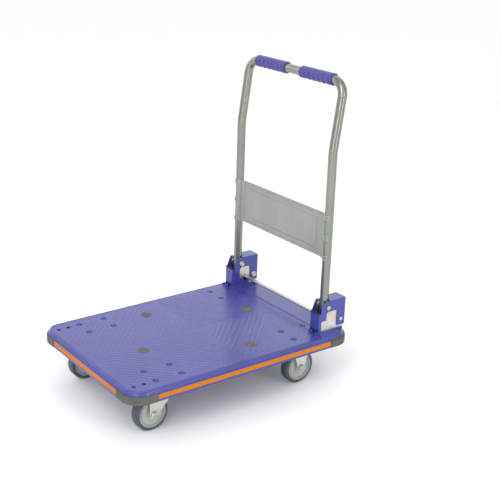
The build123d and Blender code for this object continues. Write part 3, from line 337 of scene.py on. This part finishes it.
def make_tread():
    """Low rounded ribs on the loading surface, in four fields that form diamonds."""
    pitch, half_width, height = 0.014, 0.0038, 0.0006
    step, fade = 0.004, 0.007
    line_count, stop_count = 38, 140
    narrowest, sunk = 0.4, 0.00005
    # a rib's section: place across its half width, and share of its height
    section = ((-1.0, 0.0), (-0.6, 0.66), (0.0, 1.0), (0.6, 0.66), (1.0, 0.0))
    points, faces = [], []
    for side_x in (1, -1):
        for side_y in (1, -1):
            along = Vector((1, -side_x * side_y, 0)).normalized()
            over = Vector((side_x, side_y, 0)).normalized()
            for line in range(line_count):
                last = None
                for stop in range(-stop_count, stop_count + 1):
                    spot = over * (line + 0.5) * pitch + along * stop * step
                    room = tread_room(spot.x, spot.y, side_x, side_y)
                    if room <= 0:
                        last = None
                        continue
                    swell = eased(room / fade)
                    first = len(points)
                    breadth = narrowest + (1 - narrowest) * swell
                    for out, rise in section:
                        place = spot + over * out * half_width * breadth
                        points.append((place.x, place.y, DECK_TOP - sunk + height * rise * swell))
                    if last is not None:
                        for k in range(len(section) - 1):
                            faces.append((last + k, last + k + 1, first + k + 1, first + k))
                    last = first
    new_mesh("deck_tread", points, faces, "deck", "chassis")


def make_pad_studs():
    """Hexagonal rows of small studs on the anti-slip pads."""
    pitch, row_share, radius, height = 0.0032, 0.866, 0.00115, 0.0006
    around, row_count, plain_rim = 8, 6, 0.0022
    # a stud's two rings: radius, and height over the pad
    rings = ((radius, -0.0001), (radius * 0.82, height * 0.8))
    points, faces = [], []
    for pad_x, pad_y in PADS:
        for row in range(-row_count, row_count + 1):
            for place in range(-row_count, row_count + 1):
                x = (place + 0.5 * (row % 2)) * pitch
                y = row * pitch * row_share
                if math.hypot(x, y) > PAD_RADIUS - plain_rim:
                    continue
                foot = len(points)
                shoulder, crown = foot + around, foot + 2 * around
                for ring_radius, ring_height in rings:
                    for k in range(around):
                        turn = 2 * math.pi * k / around
                        points.append(
                            (
                                pad_x + x + ring_radius * math.cos(turn),
                                pad_y + y + ring_radius * math.sin(turn),
                                PAD_TOP + ring_height,
                            )
                        )
                points.append((pad_x + x, pad_y + y, PAD_TOP + height))
                for k in range(around):
                    follow = (k + 1) % around
                    faces.append((foot + k, foot + follow, shoulder + follow, shoulder + k))
                    faces.append((shoulder + k, shoulder + follow, crown))
    new_mesh("pad_studs", points, faces, "pad", "chassis")


def make_grip(side_name):
    """Sleeve with finger swells round its front, back and underside, and a plain top."""
    low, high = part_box(f"grip_{side_name}")
    low, high = Vector(low), Vector(high)
    middle = (low + high) / 2
    length, radius = high.x - low.x, (high.z - low.z) / 2
    bore, lip, swells, valley, sharpness = 0.0127, 0.0045, 6, 0.0024, 2.6
    top_start, top_blend = 0.72, 0.5
    stations, around = 160, 72
    # the rounded end, then the swells: place along the sleeve, radius, depth of the dent
    profile = [
        (0.0, bore, 0.0),
        (0.0, radius - 0.0012, 0.0),
        (0.0004, radius - 0.0005, 0.0),
        (0.0012, radius, 0.0),
    ]
    end = profile[::-1]
    for k in range(stations + 1):
        u = k / stations
        along = lip + (length - 2 * lip) * u
        dent = valley * abs(math.cos(math.pi * swells * u)) ** sharpness
        profile.append((along, radius, dent))
    profile += [(length - along, out, dent) for along, out, dent in end]
    points, faces = [], []
    for along, out, dent in profile:
        for k in range(around):
            turn = 2 * math.pi * k / around
            up, back = math.sin(turn), math.cos(turn)
            held = eased((top_start - up) / top_blend)
            reach = out - dent * held
            points.append((low.x + along, middle.y + reach * back, middle.z + reach * up))
    for row in range(len(profile) - 1):
        near, far = row * around, (row + 1) * around
        for k in range(around):
            follow = (k + 1) % around
            faces.append((near + k, near + follow, far + follow, far + k))
    sleeve = new_mesh(f"grip_sleeve_{side_name}", points, faces, "grip", "handle")
    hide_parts(f"grip_{side_name}")


make_tread()
make_pad_studs()
for side in ("left", "right"):
    make_grip(side)


# ---- floor, light, camera --------------------------------------------------------------------
def make_floor():
    """Pale floor, half a millimetre under the tyres."""
    floor_size, gap = 24.0, 0.0005
    bpy.ops.mesh.primitive_plane_add(size=floor_size, location=(0, 0, CAD_LOW.z - gap))
    floor = bpy.context.object
    floor.name = "studio_floor"
    s = Shader("studio floor")
    shades = [(0.0, (0.955, 0.955, 0.955)), (1.0, (0.97, 0.97, 0.97))]
    s.join(s.ramp(s.noise(3.0), shades), s.bsdf.inputs["Base Color"])
    s.bsdf.inputs["Roughness"].default_value = 0.9
    s.bsdf.inputs["Specular IOR Level"].default_value = 0.0
    floor.data.materials.append(s.material)


def area_light(name, place, size, power):
    """Rectangular light that faces the middle of the cart."""
    data = bpy.data.lights.new(name, "AREA")
    data.shape = "RECTANGLE"
    data.size, data.size_y = size
    data.energy = power
    lamp = bpy.data.objects.new(name, data)
    bpy.context.scene.collection.objects.link(lamp)
    middle = Vector((0.0, 0.0, 0.35))
    lamp.location = place
    lamp.rotation_euler = (Vector(place) - middle).to_track_quat("Z", "Y").to_euler()


def light_studio():
    scene = bpy.context.scene
    world = bpy.data.worlds.new("studio")
    scene.world = world
    world.use_nodes = True
    tree = world.node_tree
    backdrop = tree.nodes["Background"]
    backdrop.inputs["Strength"].default_value = 1.0
    # bright and darker stretches by turns, so that round metal shows streaks
    direction = tree.nodes.new("ShaderNodeTexCoord")
    turned = tree.nodes.new("ShaderNodeMapping")
    turned.vector_type = "POINT"
    turned.inputs["Rotation"].default_value = (0.0, 0.0, math.radians(-20.0))
    sweep = tree.nodes.new("ShaderNodeTexGradient")
    sweep.gradient_type = "RADIAL"
    bands = tree.nodes.new("ShaderNodeValToRGB")
    stops = (
        (0.0, 1.0),
        (0.1, 0.45),
        (0.24, 1.5),
        (0.36, 0.8),
        (0.5, 1.25),
        (0.62, 0.45),
        (0.78, 1.45),
        (1.0, 1.0),
    )
    while len(bands.color_ramp.elements) < len(stops):
        bands.color_ramp.elements.new(0.5)
    for element, (place, shade) in zip(bands.color_ramp.elements, stops):
        element.position = place
        element.color = (shade, shade, shade, 1.0)
    tree.links.new(direction.outputs["Generated"], turned.inputs["Vector"])
    tree.links.new(turned.outputs["Vector"], sweep.inputs["Vector"])
    tree.links.new(sweep.outputs["Fac"], bands.inputs["Fac"])
    tree.links.new(bands.outputs["Color"], backdrop.inputs["Color"])
    broad, strip = (2.0, 2.0), (0.12, 1.9)
    area_light("key", (1.6, -2.4, 3.0), broad, 42.0)
    area_light("fill", (-2.4, -1.4, 1.8), broad, 12.0)
    area_light("left strip", (1.67, -2.0, 1.0), strip, 9.0)
    area_light("right strip", (2.55, 0.54, 1.0), strip, 9.0)
    scene.view_settings.view_transform = "Standard"
    scene.view_settings.look = "None"


def add_camera():
    """The camera stands to the front left of the cart and looks slightly down."""
    azimuth, elevation, roll = math.radians(53.9), math.radians(19.9), math.radians(1.4)
    level = math.cos(elevation)
    back = Vector((math.sin(azimuth) * level, -math.cos(azimuth) * level, math.sin(elevation)))
    right = Vector((math.cos(azimuth), math.sin(azimuth), 0.0))
    up = back.cross(right)
    turned_right = math.cos(roll) * right + math.sin(roll) * up
    turned_up = math.cos(roll) * up - math.sin(roll) * right
    data = bpy.data.cameras.new("camera")
    data.sensor_width = 36.0
    data.lens = 74.46
    data.shift_x = 0.05
    data.shift_y = -0.01
    data.clip_end = 60.0
    camera = bpy.data.objects.new("camera", data)
    bpy.context.scene.collection.objects.link(camera)
    right_of_origin, above_origin, distance = 0.0843, 0.3871, 3.0428
    place = right_of_origin * turned_right + above_origin * turned_up + distance * back
    turn = Matrix((turned_right, turned_up, back)).transposed()
    camera.matrix_world = Matrix.Translation(place) @ turn.to_4x4()
    bpy.context.scene.camera = camera


make_floor()
light_studio()
add_camera()
